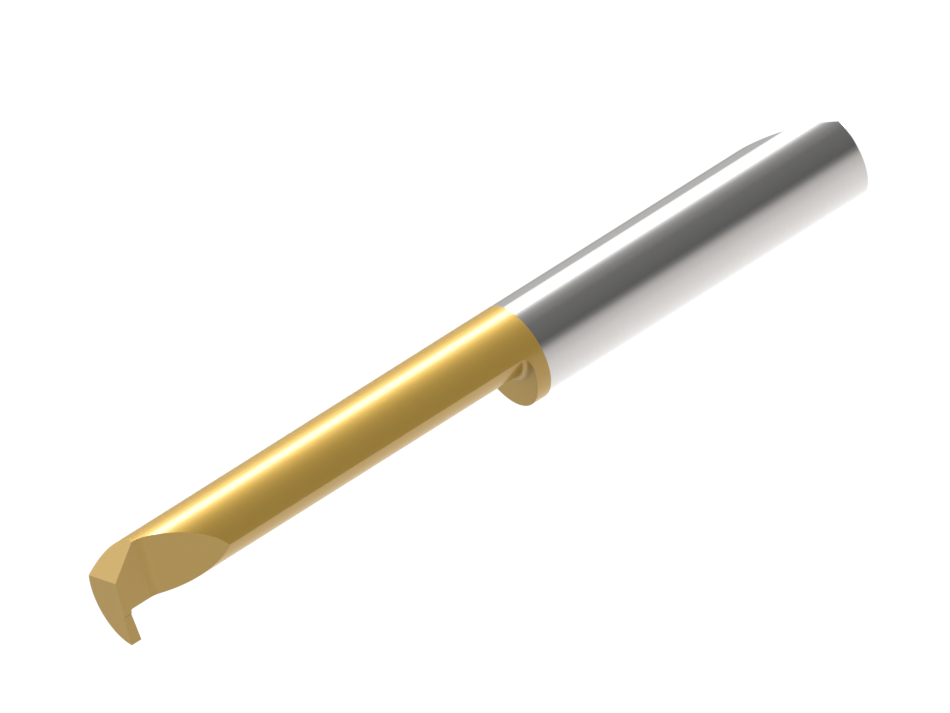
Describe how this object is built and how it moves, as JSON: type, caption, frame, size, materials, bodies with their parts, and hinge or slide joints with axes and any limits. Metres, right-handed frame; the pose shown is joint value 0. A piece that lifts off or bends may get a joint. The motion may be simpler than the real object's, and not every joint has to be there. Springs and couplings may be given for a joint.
{
  "type": "internal grooving tool",
  "caption": "Solid carbide internal grooving bar with a round shank, a slanted stop face, a slim offset neck and a gold-coated head with a side tooth",
  "frame": {"origin": "centre of the shoulder face, on the axis of the round shank", "axes": "+X runs along the bar toward the cutting head, +Y points from the axis to the tip of the tooth, +Z is the side that the rake land faces; the slanted stop face is under the rear end"},
  "size_m": [0.0627, 0.007, 0.007],
  "materials": {
    "carbide": "fine-ground cemented carbide; the head, the neck and the collar to 1.15 mm behind the shoulder carry a thin gold-coloured hard coating"
  },
  "bodies": {
    "root": {"grooving_bar": "carbide"}
  },
  "joints": []
}
